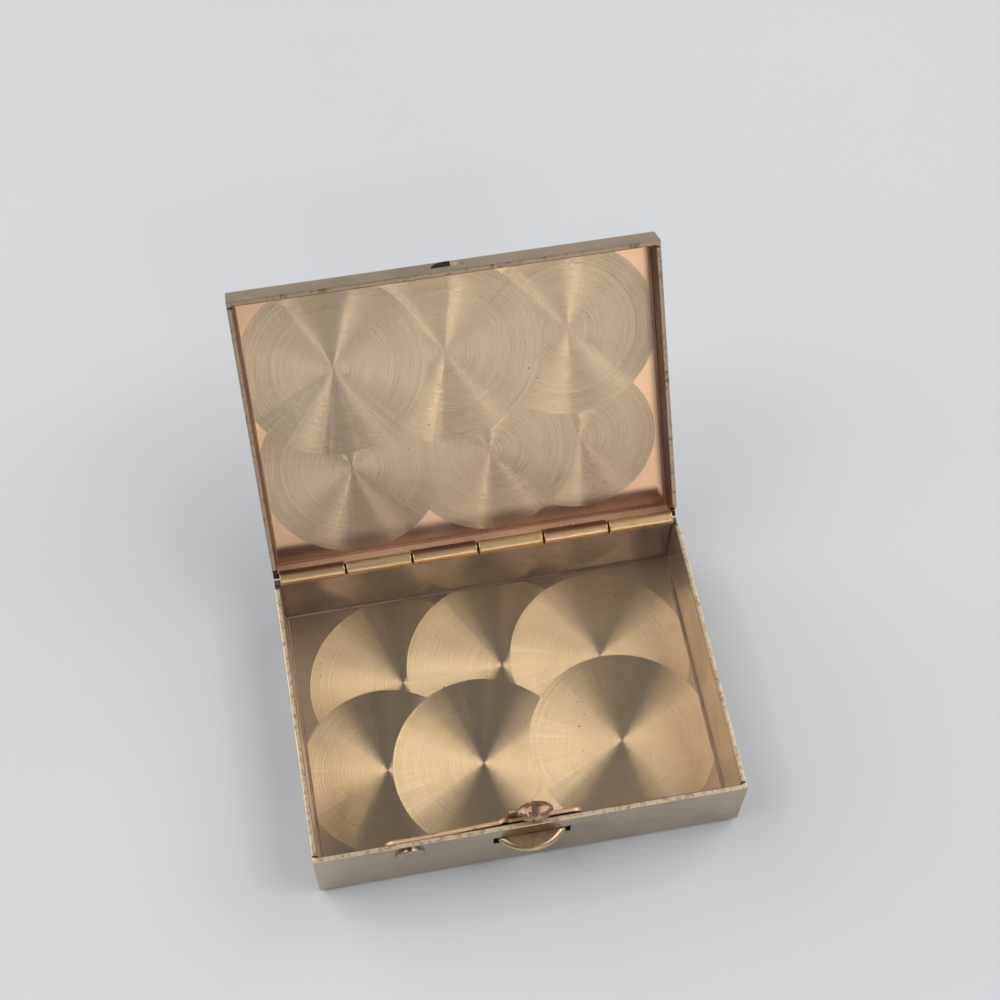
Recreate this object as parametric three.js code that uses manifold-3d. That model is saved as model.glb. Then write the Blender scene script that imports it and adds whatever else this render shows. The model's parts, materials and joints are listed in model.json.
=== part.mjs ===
// A pocket box of thin brass sheet: a folded tray and a folded lid on a barrel hinge of six knuckles,
// held shut by a sprung catch on the inside of the front wall.
// Millimetres. X runs to the right, Y to the back and Z up, from the middle of the tray's underside.
// The lid stands open against its stop.
import * as THREE from 'three';
import { mergeVertices } from 'three/addons/utils/BufferGeometryUtils.js';
import Module from 'manifold-3d';

// The folded sheets
const BOX_WIDTH = 50;
const BOX_DEPTH = 36.2;
const TRAY_HEIGHT = 11;
const LID_HEIGHT = 4.1;
const SHEET = 0.6;
const FOLD_INSIDE_RADIUS = 0.3;
const CORNER_SEAM = 0.25; // slit between two folded walls
const PARTING_GAP = 0.1; // between the rims of the shut box

// The hinge
const KNUCKLE_PAIRS = 3; // each pair is a lid knuckle and a tray knuckle, from the left
const BARREL_RADIUS = 0.95;
const HINGE_INSET = 0.5; // from the back face in to the hinge axis
const KNUCKLE_GAP = 0.25;
const BARREL_END_GAP = 0.2; // from the barrel's end to the side wall
const PIN_RADIUS = 0.45;
const PIN_CLEARANCE = 0.05;
const SOLDER_FILM = 0.03;
const SWING_CLEARANCE = 0.3; // from a knuckle to the sheet that swings round it
const STOP_MARGIN = 0.7; // degrees left before the two back edges meet

// The catch, from the tray's rim downwards and from the middle of the box sideways
const RIVET_X = -14.1;
const RIVET_DROP = 2.4;
const RIVET_HEAD_RADIUS = 1.7;
const RIVET_HEAD_HEIGHT = 0.4;
const RIVET_HEAD_BEVEL = 0.25;
const RIVET_SHANK_RADIUS = 0.75;
const RIVET_TAIL_RADIUS = 1.2;
const RIVET_TAIL_HEIGHT = 0.35;
const RIVET_PLAY = 0.15; // round the shank in the strip, and between the strip and the tail
const STRIP_THICKNESS = 0.4;
const STRIP_HEIGHT = 4.05;
const STRIP_DROP = 0.35; // from the rim down to the strip's top edge
const STRIP_TAIL = 2.7; // past the rivet on the left
const STRIP_END_X = 6;
const STRIP_CORNER_RADIUS = 1.1;
const STRIP_GAP = 0.3; // from the front wall in to the strip
const STRIP_LEAN = 1.2; // degrees that the strip stands away from the wall
const PUSH_X = 0;
const PUSH_DROP = 3.3; // from the rim down to the middle of the push
const PUSH_WIDTH = 7.9;
const PUSH_REACH = 1.9; // out from the front face
const PUSH_THICKNESS = 0.9;
const PUSH_DISH = 0.5;
const PUSH_TANG = 5.6; // width of the tang that runs in to the strip
const SLOT_SIDE_CLEARANCE = 0.55;
const SLOT_HEIGHT_CLEARANCE = 0.45;
const NOSE_X = 0.4; // middle of the nose and of the lid's window
const WINDOW_RADIUS = 1.9;
const WINDOW_SILL = 1.5; // from the lid's rim up to the window's flat edge
const HOOK_CLEARANCE = 0.2; // between the hook and the window's edge
const HOOK_REACH = 0.25; // out from the front face, through the window
const NOSE_WIDTH = 4.2;
const NOSE_DEPTH = 2.4;
const NOSE_HEIGHT = 2.1;
const NOSE_DROP = 0.15; // from the hook's underside down to the middle of the nose
const NOSE_FRONT_CLEARANCE = 0.3; // from the shut lid's front wall
const NECK_WIDTH = 2.4;
const NECK_THICKNESS = 0.4;
const NECK_FOOT = 1.4; // length of the foot down the strip

// Sides of a full circle
const SMALL_ROUND = 24;
const BARREL_ROUND = 32;
const FOLD_STEPS = 4; // in a quarter circle
const OVERCUT = 1; // past the sheet on each side of a cut
const MERGE_DISTANCE = 1e-5;

// Worked out from the sizes above
const FOLD_RADIUS = FOLD_INSIDE_RADIUS + SHEET;
const FRONT = -BOX_DEPTH / 2;
const FRONT_INSIDE = FRONT + SHEET;
const LID_RIM = TRAY_HEIGHT + PARTING_GAP;
const LID_TOP = LID_RIM + LID_HEIGHT;
const HINGE_Y = BOX_DEPTH / 2 - HINGE_INSET;
const HINGE_Z = TRAY_HEIGHT + PARTING_GAP / 2;
const BARREL_LENGTH = BOX_WIDTH - 2 * (SHEET + BARREL_END_GAP);
const KNUCKLE_PITCH = (BARREL_LENGTH + KNUCKLE_GAP) / (2 * KNUCKLE_PAIRS);
const KNUCKLE_LENGTH = KNUCKLE_PITCH - KNUCKLE_GAP;
const SEAT_RADIUS = BARREL_RADIUS + SOLDER_FILM;
const SWING_RADIUS = BARREL_RADIUS + SWING_CLEARANCE;
const RIVET_Z = TRAY_HEIGHT - RIVET_DROP;
const PUSH_Z = TRAY_HEIGHT - PUSH_DROP;
const STRIP_TOP = TRAY_HEIGHT - STRIP_DROP;
const STRIP_FACE = STRIP_THICKNESS / 2;
const STRIP_Y = FRONT_INSIDE + STRIP_GAP + STRIP_FACE; // middle of the strip at the rivet
const HOOK_LOW = LID_RIM + WINDOW_SILL + HOOK_CLEARANCE;

// The lid stops where the outer back corners of the two sheets meet: one cut to a knuckle's seat, the other
// cut clear of it.
const seatCorner = Math.asin(HINGE_INSET / SEAT_RADIUS);
const swingCorner = Math.asin(HINGE_INSET / SWING_RADIUS);
const LID_STOP = Math.PI - seatCorner - swingCorner;
const LID_OPEN = LID_STOP - THREE.MathUtils.degToRad(STOP_MARGIN);

const brass = new THREE.MeshStandardMaterial({ color: 0xb79a6b, roughness: 0.38, metalness: 1 });
const barrelBrass = new THREE.MeshStandardMaterial({ color: 0xc9a263, roughness: 0.3, metalness: 1 });
const bronze = new THREE.MeshStandardMaterial({ color: 0xb8835c, roughness: 0.32, metalness: 1 });

const wasm = await Module();
wasm.setup();

// A closed geometry as a solid that can be cut and joined
function solid(geometry) {
  geometry.deleteAttribute('normal');
  geometry.deleteAttribute('uv');
  const merged = mergeVertices(geometry, MERGE_DISTANCE);
  const vertProperties = new Float32Array(merged.attributes.position.array);
  const triVerts = new Uint32Array(merged.index.array);
  return new wasm.Manifold(new wasm.Mesh({ numProp: 3, vertProperties, triVerts }));
}

function piece(name, shape, material) {
  const { vertProperties, triVerts } = shape.getMesh();
  const geometry = new THREE.BufferGeometry();
  geometry.setAttribute('position', new THREE.BufferAttribute(vertProperties, 3));
  geometry.setIndex(new THREE.BufferAttribute(triVerts, 1));
  geometry.computeVertexNormals();
  const mesh = new THREE.Mesh(geometry, material);
  mesh.name = name;
  return mesh;
}

// A box between two corners
function block(low, high) {
  const size = high.map((value, axis) => value - low[axis]);
  const middle = high.map((value, axis) => (value + low[axis]) / 2);
  return solid(new THREE.BoxGeometry(...size).translate(...middle));
}

// A round bar along X
function barAlongX(radius, fromX, toX, y, z) {
  const bar = new THREE.CylinderGeometry(radius, radius, toX - fromX, BARREL_ROUND);
  return solid(bar.rotateZ(Math.PI / 2).translate((fromX + toX) / 2, y, z));
}

// An outline drawn in X and Z, from the front at fromY to the back at toY
function plateAlongY(shape, fromY, toY, curveSegments) {
  const options = { depth: toY - fromY, bevelEnabled: false, curveSegments };
  const plate = new THREE.ExtrudeGeometry(shape, options);
  return solid(plate.rotateX(Math.PI / 2).translate(0, toY, 0));
}

// A trough's section: upright sides and two rounded lower edges, with its underside at 0
function troughShape(width, height, radius) {
  const half = width / 2;
  const shape = new THREE.Shape();
  shape.moveTo(-half, height);
  shape.lineTo(-half, radius);
  shape.absarc(-half + radius, radius, radius, Math.PI, 1.5 * Math.PI);
  shape.lineTo(half - radius, 0);
  shape.absarc(half - radius, radius, radius, 1.5 * Math.PI, 2 * Math.PI);
  shape.lineTo(half, height);
  shape.closePath();
  return shape;
}

// A block with its underside at 0 and its four lower edges rounded
function pan(width, depth, height, radius) {
  const options = { bevelEnabled: false, curveSegments: FOLD_STEPS };
  const across = new THREE.ExtrudeGeometry(troughShape(width, height, radius), { ...options, depth });
  across.rotateX(Math.PI / 2).translate(0, depth / 2, 0);
  const along = new THREE.ExtrudeGeometry(troughShape(depth, height, radius), { ...options, depth: width });
  along.rotateX(Math.PI / 2).rotateZ(Math.PI / 2).translate(-width / 2, 0, 0);
  return solid(across).intersect(solid(along));
}

// A blank folded up into four walls, the front and back ones as wide as the box, with a slit at each corner
function foldedSheet(height) {
  const outside = pan(BOX_WIDTH, BOX_DEPTH, height, FOLD_RADIUS);
  const hollow = pan(BOX_WIDTH - 2 * SHEET, BOX_DEPTH - 2 * SHEET, height, FOLD_INSIDE_RADIUS);
  let sheet = outside.subtract(hollow.translate(0, 0, SHEET));
  const seamOuter = BOX_DEPTH / 2 - SHEET;
  const seamInner = seamOuter - CORNER_SEAM;
  const wallInner = BOX_WIDTH / 2 - SHEET;
  for (const side of [-1, 1]) {
    const x = [side * (wallInner - OVERCUT), side * (BOX_WIDTH / 2 + OVERCUT)].sort((a, b) => a - b);
    for (const end of [-1, 1]) {
      const y = [end * seamInner, end * seamOuter].sort((a, b) => a - b);
      sheet = sheet.subtract(block([x[0], y[0], FOLD_RADIUS], [x[1], y[1], height + OVERCUT]));
    }
  }
  return sheet;
}

// The left end of each of the six knuckles
const knuckleStarts = [];
for (let i = 0; i < 2 * KNUCKLE_PAIRS; i += 1) {
  knuckleStarts.push(i * KNUCKLE_PITCH - BARREL_LENGTH / 2);
}
const lidStarts = knuckleStarts.filter((_, i) => i % 2 === 0);
const trayStarts = knuckleStarts.filter((_, i) => i % 2 === 1);

// Cuts a sheet's back edge to seat its own knuckles, and clear of the other sheet's knuckles and edge
function hingeCut(sheet, otherStarts) {
  const end = BOX_WIDTH / 2 + OVERCUT;
  const barrelEnd = BARREL_LENGTH / 2;
  let cut = sheet.subtract(barAlongX(SEAT_RADIUS, -end, end, HINGE_Y, HINGE_Z));
  const clear = otherStarts.map((start) => [start - KNUCKLE_GAP, start + KNUCKLE_LENGTH + KNUCKLE_GAP]);
  clear.push([-end, -barrelEnd], [barrelEnd, end]);
  for (const [from, to] of clear) {
    cut = cut.subtract(barAlongX(SWING_RADIUS, from, to, HINGE_Y, HINGE_Z));
  }
  return cut;
}

// A short tube along X with the hinge axis as its own
function knuckle(start) {
  const bore = PIN_RADIUS + PIN_CLEARANCE;
  const section = [
    [bore, 0],
    [BARREL_RADIUS, 0],
    [BARREL_RADIUS, KNUCKLE_LENGTH],
    [bore, KNUCKLE_LENGTH],
    [bore, 0],
  ];
  const tube = new THREE.LatheGeometry(section.map(([r, t]) => new THREE.Vector2(r, t)), BARREL_ROUND);
  return solid(tube.rotateZ(-Math.PI / 2).translate(start, 0, 0));
}

function hingePin() {
  return barAlongX(PIN_RADIUS, -BARREL_LENGTH / 2, BARREL_LENGTH / 2, 0, 0);
}

// The tray, with the slot for the push and the hole for the rivet
function trayShell() {
  const slotHalf = PUSH_WIDTH / 2 + SLOT_SIDE_CLEARANCE;
  const slotRise = PUSH_THICKNESS / 2 + SLOT_HEIGHT_CLEARANCE;
  const slot = block(
    [PUSH_X - slotHalf, FRONT - OVERCUT, PUSH_Z - slotRise],
    [PUSH_X + slotHalf, FRONT_INSIDE + OVERCUT, PUSH_Z + slotRise],
  );
  const holeRadius = RIVET_SHANK_RADIUS + SOLDER_FILM;
  const hole = new THREE.CylinderGeometry(holeRadius, holeRadius, SHEET + 2 * OVERCUT, SMALL_ROUND);
  hole.translate(RIVET_X, FRONT + SHEET / 2, RIVET_Z);
  return hingeCut(foldedSheet(TRAY_HEIGHT), lidStarts).subtract(slot).subtract(solid(hole));
}

// A half circle standing on its flat edge, in X and Z
function halfMoon(x, sill, radius) {
  const shape = new THREE.Shape();
  shape.absarc(x, sill, radius, 0, Math.PI);
  shape.closePath();
  return shape;
}

// The lid, shut, with the half-moon window that the catch snaps into
function lidShell() {
  const shut = foldedSheet(LID_HEIGHT).rotate(180, 0, 0).translate(0, 0, LID_TOP);
  const outline = halfMoon(NOSE_X, LID_RIM + WINDOW_SILL, WINDOW_RADIUS);
  const window = plateAlongY(outline, FRONT - OVERCUT, FRONT_INSIDE + OVERCUT, SMALL_ROUND / 2);
  return hingeCut(shut, trayStarts).subtract(window);
}

// A shank through wall and strip, a bevelled head outside and a peened tail inside
function springRivet() {
  const headSeat = FRONT - SOLDER_FILM;
  const tailSeat = STRIP_Y + STRIP_FACE + RIVET_PLAY;
  const head = headSeat - RIVET_HEAD_HEIGHT;
  const section = [
    [0, head],
    [RIVET_HEAD_RADIUS - RIVET_HEAD_BEVEL, head],
    [RIVET_HEAD_RADIUS, head + RIVET_HEAD_BEVEL],
    [RIVET_HEAD_RADIUS, headSeat],
    [RIVET_SHANK_RADIUS, headSeat],
    [RIVET_SHANK_RADIUS, tailSeat],
    [RIVET_TAIL_RADIUS, tailSeat],
    [RIVET_SHANK_RADIUS, tailSeat + RIVET_TAIL_HEIGHT],
    [0, tailSeat + RIVET_TAIL_HEIGHT],
  ];
  const rivet = new THREE.LatheGeometry(section.map(([r, t]) => new THREE.Vector2(r, t)), SMALL_ROUND);
  return solid(rivet.translate(RIVET_X, 0, RIVET_Z));
}

// How far the leaning strip lies further in than at the rivet
function leanAt(x) {
  return Math.sin(THREE.MathUtils.degToRad(STRIP_LEAN)) * (x - RIVET_X);
}

// The catch pieces lie about the rivet's upright axis, with the strip's middle plane at Y 0.
// The strip has round corners and a hole for the rivet's shank.
function catchSpring() {
  const left = -STRIP_TAIL;
  const right = STRIP_END_X - RIVET_X;
  const low = STRIP_TOP - STRIP_HEIGHT;
  const r = STRIP_CORNER_RADIUS;
  const shape = new THREE.Shape();
  shape.moveTo(left, low + r);
  shape.absarc(left + r, low + r, r, Math.PI, 1.5 * Math.PI);
  shape.absarc(right - r, low + r, r, 1.5 * Math.PI, 2 * Math.PI);
  shape.absarc(right - r, STRIP_TOP - r, r, 0, 0.5 * Math.PI);
  shape.absarc(left + r, STRIP_TOP - r, r, 0.5 * Math.PI, Math.PI);
  shape.closePath();
  const hole = new THREE.Path();
  hole.absarc(0, RIVET_Z, RIVET_SHANK_RADIUS + RIVET_PLAY, 0, 2 * Math.PI, true);
  shape.holes.push(hole);
  return plateAlongY(shape, -STRIP_FACE, STRIP_FACE, SMALL_ROUND / 4);
}

// A half-moon shelf with a dished top, and a tang that runs in to the strip's outer face
function thumbPush() {
  const arm = PUSH_X - RIVET_X;
  const face = FRONT - STRIP_Y - leanAt(PUSH_X);
  const half = PUSH_WIDTH / 2;
  const radius = (half * half + PUSH_REACH * PUSH_REACH) / (2 * PUSH_REACH);
  const sweep = Math.asin(half / radius);
  const centre = face - PUSH_REACH + radius;
  const tangEnd = -STRIP_FACE - SOLDER_FILM;
  const shape = new THREE.Shape();
  shape.absarc(arm, centre, radius, 1.5 * Math.PI - sweep, 1.5 * Math.PI + sweep);
  shape.lineTo(arm + PUSH_TANG / 2, face);
  shape.lineTo(arm + PUSH_TANG / 2, tangEnd);
  shape.lineTo(arm - PUSH_TANG / 2, tangEnd);
  shape.lineTo(arm - PUSH_TANG / 2, face);
  shape.closePath();
  const options = { depth: PUSH_THICKNESS, bevelEnabled: false, curveSegments: SMALL_ROUND };
  const plate = new THREE.ExtrudeGeometry(shape, options);
  plate.translate(0, 0, PUSH_Z - PUSH_THICKNESS / 2);
  const dishRadius = (half * half + PUSH_DISH * PUSH_DISH) / (2 * PUSH_DISH);
  const dishBottom = PUSH_Z + PUSH_THICKNESS / 2 - PUSH_DISH;
  const dish = new THREE.SphereGeometry(dishRadius, 2 * BARREL_ROUND, BARREL_ROUND);
  dish.rotateX(Math.PI / 2).translate(arm, face, dishBottom + dishRadius);
  return solid(plate).subtract(solid(dish));
}

// A rounded nose on a neck that is soldered to the strip's inner face. Only the part of the nose that goes
// through the shut lid's window reaches forward past its front wall.
function catchNose() {
  const arm = NOSE_X - RIVET_X;
  const offset = STRIP_Y + leanAt(NOSE_X);
  const tip = FRONT - HOOK_REACH - offset;
  const wallSide = FRONT_INSIDE + NOSE_FRONT_CLEARANCE - offset;
  const middle = HOOK_LOW - NOSE_DROP;
  const dome = new THREE.SphereGeometry(0.5, SMALL_ROUND, SMALL_ROUND / 2);
  dome.rotateX(Math.PI / 2).scale(NOSE_WIDTH, NOSE_DEPTH, NOSE_HEIGHT);
  dome.translate(arm, tip + NOSE_DEPTH / 2, middle);
  const nose = solid(dome);
  const back = tip + NOSE_DEPTH + OVERCUT;
  const behindWall = block(
    [arm - NOSE_WIDTH, wallSide, HOOK_LOW - NOSE_HEIGHT],
    [arm + NOSE_WIDTH, back, HOOK_LOW + NOSE_HEIGHT],
  );
  const outline = halfMoon(arm, HOOK_LOW, WINDOW_RADIUS - HOOK_CLEARANCE);
  const throughWindow = plateAlongY(outline, tip - OVERCUT, back, SMALL_ROUND / 2);
  const neckFront = STRIP_FACE + SOLDER_FILM;
  const neck = block(
    [arm - NECK_WIDTH / 2, neckFront, STRIP_TOP - NECK_FOOT],
    [arm + NECK_WIDTH / 2, neckFront + NECK_THICKNESS, middle],
  );
  return nose.intersect(behindWall).add(nose.intersect(throughWindow)).add(neck);
}

const box = new THREE.Group();

const hinge = new THREE.Group();
hinge.position.set(0, HINGE_Y, HINGE_Z);
hinge.add(piece('hinge_pin', hingePin(), brass));
trayStarts.forEach((start, i) => hinge.add(piece(`tray_knuckle_${i + 1}`, knuckle(start), barrelBrass)));

const lid = new THREE.Group();
lid.position.copy(hinge.position);
lid.rotation.x = -LID_OPEN;
lid.add(piece('lid_shell', lidShell().translate(0, -HINGE_Y, -HINGE_Z), brass));
lidStarts.forEach((start, i) => lid.add(piece(`lid_knuckle_${i + 1}`, knuckle(start), barrelBrass)));

const catchArm = new THREE.Group();
catchArm.position.set(RIVET_X, STRIP_Y, 0);
catchArm.rotation.z = THREE.MathUtils.degToRad(STRIP_LEAN);
catchArm.add(piece('catch_spring', catchSpring(), bronze));
catchArm.add(piece('thumb_push', thumbPush(), brass));
catchArm.add(piece('catch_nose', catchNose(), bronze));

box.add(piece('tray_shell', trayShell(), brass));
box.add(piece('spring_rivet', springRivet(), brass));
box.add(hinge, lid, catchArm);

export default box;
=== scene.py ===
import json
import math

import bmesh
import bpy
from mathutils import Matrix, Vector


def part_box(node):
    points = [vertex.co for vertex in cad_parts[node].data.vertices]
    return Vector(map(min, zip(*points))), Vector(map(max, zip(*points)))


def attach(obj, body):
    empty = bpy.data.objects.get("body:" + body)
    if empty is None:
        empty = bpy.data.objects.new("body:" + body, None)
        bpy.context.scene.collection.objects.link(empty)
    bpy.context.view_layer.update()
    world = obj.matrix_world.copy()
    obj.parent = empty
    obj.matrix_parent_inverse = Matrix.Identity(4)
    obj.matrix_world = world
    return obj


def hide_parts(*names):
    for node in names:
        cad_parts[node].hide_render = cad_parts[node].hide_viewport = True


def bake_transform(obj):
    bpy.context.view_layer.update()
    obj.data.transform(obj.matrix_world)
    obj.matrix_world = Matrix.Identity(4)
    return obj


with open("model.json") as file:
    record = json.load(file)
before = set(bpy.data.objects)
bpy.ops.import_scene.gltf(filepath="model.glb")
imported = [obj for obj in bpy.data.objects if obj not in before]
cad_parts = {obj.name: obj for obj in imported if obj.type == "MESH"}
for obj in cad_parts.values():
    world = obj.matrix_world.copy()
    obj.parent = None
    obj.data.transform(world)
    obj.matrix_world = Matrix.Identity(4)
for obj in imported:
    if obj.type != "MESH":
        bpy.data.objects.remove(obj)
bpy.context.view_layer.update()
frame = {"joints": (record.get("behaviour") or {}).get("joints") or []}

scene = bpy.context.scene
scene.view_settings.view_transform = "Standard"


# The camera
# It looks down on the open box from the front, a little from the left, from about 24 cm away. It was fitted
# to the corners of the tray and the lid.
CAMERA_AIM = Vector((0.005067, 0.029606, 0))
CAMERA_TURN = math.radians(-11.288)
CAMERA_HEIGHT = math.radians(61.282)
CAMERA_ROLL = math.radians(1.036)
CAMERA_DISTANCE = 0.241611
CAMERA_LENS = 66.688

back = Vector((
    math.sin(CAMERA_TURN) * math.cos(CAMERA_HEIGHT),
    -math.cos(CAMERA_TURN) * math.cos(CAMERA_HEIGHT),
    math.sin(CAMERA_HEIGHT),
))
level = Vector((0, 0, 1)).cross(back).normalized()
roll = Matrix.Rotation(CAMERA_ROLL, 3, back)
axes = Matrix((roll @ level, roll @ back.cross(level), back)).transposed()
camera = bpy.data.objects.new("camera", bpy.data.cameras.new("camera"))
camera.data.lens = CAMERA_LENS
camera.data.clip_start = 0.01
camera.matrix_world = Matrix.Translation(CAMERA_AIM + back * CAMERA_DISTANCE) @ axes.to_4x4()
scene.collection.objects.link(camera)
scene.camera = camera


# The light
# A dim room, darker overhead, with a large soft light on each side, two smaller ones high up, a low one in
# front and two small lamps over it, all of it far away, so that every turned disc shows the same bright
# sectors.
def linear(code):
    """An sRGB hex colour as linear red, green, blue and alpha."""
    shares = [int(code[i:i + 2], 16) / 255 for i in (1, 3, 5)]
    return (*[s / 12.92 if s <= 0.04045 else ((s + 0.055) / 1.055) ** 2.4 for s in shares], 1)


def add(tree, kind, inputs=(), **settings):
    """A new node. Inputs come by place in a list, or by identifier in a dict, as a value, socket or node."""
    node = tree.nodes.new(kind)
    for key, value in settings.items():
        setattr(node, key, value)
    known = {s.identifier: s for s in node.inputs}
    pairs = inputs.items() if isinstance(inputs, dict) else enumerate(inputs)
    for key, value in pairs:
        target = known[key] if isinstance(key, str) else node.inputs[key]
        if isinstance(value, bpy.types.Node):
            value = next(s for s in value.outputs if s.enabled)
        if isinstance(value, bpy.types.NodeSocket):
            tree.links.new(value, target)
        else:
            target.default_value = value
    return node


ROOM_HORIZON = linear("#a0a4aa")
ROOM_OVERHEAD = linear("#454d57")
OVERHEAD_FROM = math.sin(math.radians(18))
OVERHEAD_FULL = math.sin(math.radians(30))
LIGHT_TONE = linear("#fffaf4")
# Direction, angular radius and softness in degrees, and strength of each soft light
SOFT_LIGHTS = [
    ((0.69, 0.17, 0.71), 26, 3, 2.05),
    ((-0.68, 0.43, 0.59), 32, 8, 1.5),
    ((0.46, -0.29, 0.84), 12, 3, 2.3),
    ((-0.49, -0.04, 0.87), 13, 3, 1.9),
    ((0.15, -0.97, 0.19), 7, 5, 2.4),
    ((0.21, -0.74, 0.64), 2, 0.8, 20),
    ((-0.20, -0.74, 0.64), 2, 0.8, 13),
]

world = bpy.data.worlds.new("room")
scene.world = world
world.use_nodes = True
room = world.node_tree
room.nodes.clear()
direction = add(room, "ShaderNodeTexCoord").outputs["Generated"]
rise = add(room, "ShaderNodeSeparateXYZ", [direction]).outputs["Z"]
overhead = add(room, "ShaderNodeMapRange", [rise, OVERHEAD_FROM, OVERHEAD_FULL],
               interpolation_type="SMOOTHSTEP")
shade = add(room, "ShaderNodeMix",
            {"Factor_Float": overhead, "A_Color": ROOM_HORIZON, "B_Color": ROOM_OVERHEAD},
            data_type="RGBA")
for aim, radius, softness, strength in SOFT_LIGHTS:
    nearness = add(room, "ShaderNodeVectorMath", [direction, Vector(aim).normalized()],
                   operation="DOT_PRODUCT")
    spread = [math.cos(math.radians(radius + softness)), math.cos(math.radians(radius - softness))]
    glow = add(room, "ShaderNodeMapRange", [nearness, *spread, 0, strength],
               interpolation_type="SMOOTHSTEP")
    lit = add(room, "ShaderNodeVectorMath", {"Vector": LIGHT_TONE[:3], "Scale": glow}, operation="SCALE")
    shade = add(room, "ShaderNodeVectorMath", [shade, lit], operation="ADD")
add(room, "ShaderNodeOutputWorld", [add(room, "ShaderNodeBackground", [shade])])


# The table
# A plain pale board that the box stands on, matt, with a faint unevenness of tone.
MM = 0.001
TABLE_SIZE = 3.0
TABLE_TONE = linear("#e6ebf2")
TABLE_SHADE = linear("#e1e6ed")
CLOUD_MM = 60


def matter(name):
    """A new material with an empty node tree, and object coordinates in it."""
    material = bpy.data.materials.new(name)
    material.use_nodes = True
    tree = material.node_tree
    tree.nodes.clear()
    return material, tree, add(tree, "ShaderNodeTexCoord").outputs["Object"]


matt_board, tree, place = matter("matt_board")
cloud = add(tree, "ShaderNodeTexNoise", {"Vector": place, "Scale": 1 / (CLOUD_MM * MM), "Detail": 3})
tone = add(tree, "ShaderNodeMix",
           {"Factor_Float": cloud, "A_Color": TABLE_TONE, "B_Color": TABLE_SHADE}, data_type="RGBA")
board = add(tree, "ShaderNodeBsdfPrincipled",
            {"Base Color": tone, "Roughness": 0.85, "Specular IOR Level": 0.2})
add(tree, "ShaderNodeOutputMaterial", [board])

bm = bmesh.new()
bmesh.ops.create_grid(bm, x_segments=1, y_segments=1, size=TABLE_SIZE / 2)
table = bpy.data.objects.new("table", bpy.data.meshes.new("table"))
bm.to_mesh(table.data)
bm.free()
table.data.materials.append(matt_board)
scene.collection.objects.link(table)


# The tray
# One sheet of gold-tone brass folded up on four sides, its corners left as open slits. The front wall has
# the push's slot and the rivet's hole, and the back edge is cut away round the hinge barrel. Its floor is
# engine-turned: a spinning pad cut overlapping discs of fine rings into it.
SHEET = 0.6 * MM
FOLD_INSIDE = 0.3 * MM
FOLD_STEPS = 8
RIM_ROUND = 0.12 * MM
RIM_STEPS = 4
CORNER_SEAM = 0.25 * MM
SEAM_FOOT = 1.2 * MM
SOLDER_FILM = 0.03 * MM
SWING_CLEARANCE = 0.3 * MM
SNIP_BACK = 0.35 * MM
SNIP_DEEP = 0.45 * MM
# How far a cutter reaches past what it cuts
BEYOND = 1 * MM
# Points nearer than this are joined, and edges sharper than this many degrees stay crisp
SAME_POINT = 0.0005 * MM
CRISP_ANGLE = 40
# The kinds of face on a folded sheet, in the order of its materials
OUTSIDE, FLOOR, FOLD, WALL, EDGE, CUT, LINE, PAINTED_LIT = range(8)

tray_low, tray_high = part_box("tray_shell")
WIDTH, DEPTH, TRAY_HEIGHT = tray_high - tray_low
FRONT = -DEPTH / 2
FRONT_INSIDE = FRONT + SHEET
FOLD_OUTSIDE = FOLD_INSIDE + SHEET
joints = {joint["name"]: joint for joint in frame["joints"]}
hinge = Vector(joints["lid_hinge"]["pos_m"])
TRAY_KNUCKLES = ["tray_knuckle_1", "tray_knuckle_2", "tray_knuckle_3"]
LID_KNUCKLES = ["lid_knuckle_1", "lid_knuckle_2", "lid_knuckle_3"]
tray_spans = [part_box(name) for name in TRAY_KNUCKLES]
lid_spans = [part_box(name) for name in LID_KNUCKLES]
BARREL_RADIUS = (tray_spans[0][1].z - tray_spans[0][0].z) / 2

PUSH_X = 0 * MM
PUSH_WIDTH = 7.9 * MM
PUSH_THICKNESS = 0.9 * MM
PUSH_Z = TRAY_HEIGHT - 3.3 * MM
SLOT_SIDE = 0.55 * MM
SLOT_ABOVE = 0.45 * MM
rivet = Vector(joints["catch_press"]["pos_m"])
SHANK_RADIUS = 0.75 * MM


def skin(loops, kinds=None, hollow=False):
    """A closed mesh over loops of points. Kinds mark the first cap, each band and the last cap.

    A hollow one has no caps: its last loop is joined to its first."""
    bm = bmesh.new()
    rows = [[bm.verts.new(point) for point in loop] for loop in loops]
    faces = [] if hollow else [[bm.faces.new(rows[0])]]
    for a, b in zip(rows, rows[1:] + rows[:hollow]):
        faces.append([bm.faces.new((a[i], a[i - 1], b[i - 1], b[i])) for i in range(len(a))])
    if not hollow:
        faces.append([bm.faces.new(rows[-1])])
    for kind, band in zip(kinds or [0] * len(faces), faces):
        for face in band:
            face.material_index = kind
    bmesh.ops.recalc_face_normals(bm, faces=bm.faces)
    return bm


def quarter(steps):
    """The angles of a quarter turn in even steps, from 0."""
    return [math.pi / 2 * step / steps for step in range(steps + 1)]


def pan_loops(half_width, half_depth, radius, low, high, side):
    """Rectangles from a pan's floor round the fold and up to its rounded rim.

    Side is 1 outside and -1 inside."""
    rows = []
    for angle in quarter(FOLD_STEPS):
        rows.append((radius * (1 - math.sin(angle)), low + radius * (1 - math.cos(angle))))
    for angle in quarter(RIM_STEPS):
        rows.append((side * RIM_ROUND * (1 - math.cos(angle)), high - RIM_ROUND * (1 - math.sin(angle))))
    corners = ((-1, -1), (1, -1), (1, 1), (-1, 1))
    return [[(x * (half_width - inset), y * (half_depth - inset), z) for x, y in corners]
            for inset, z in rows]


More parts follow.
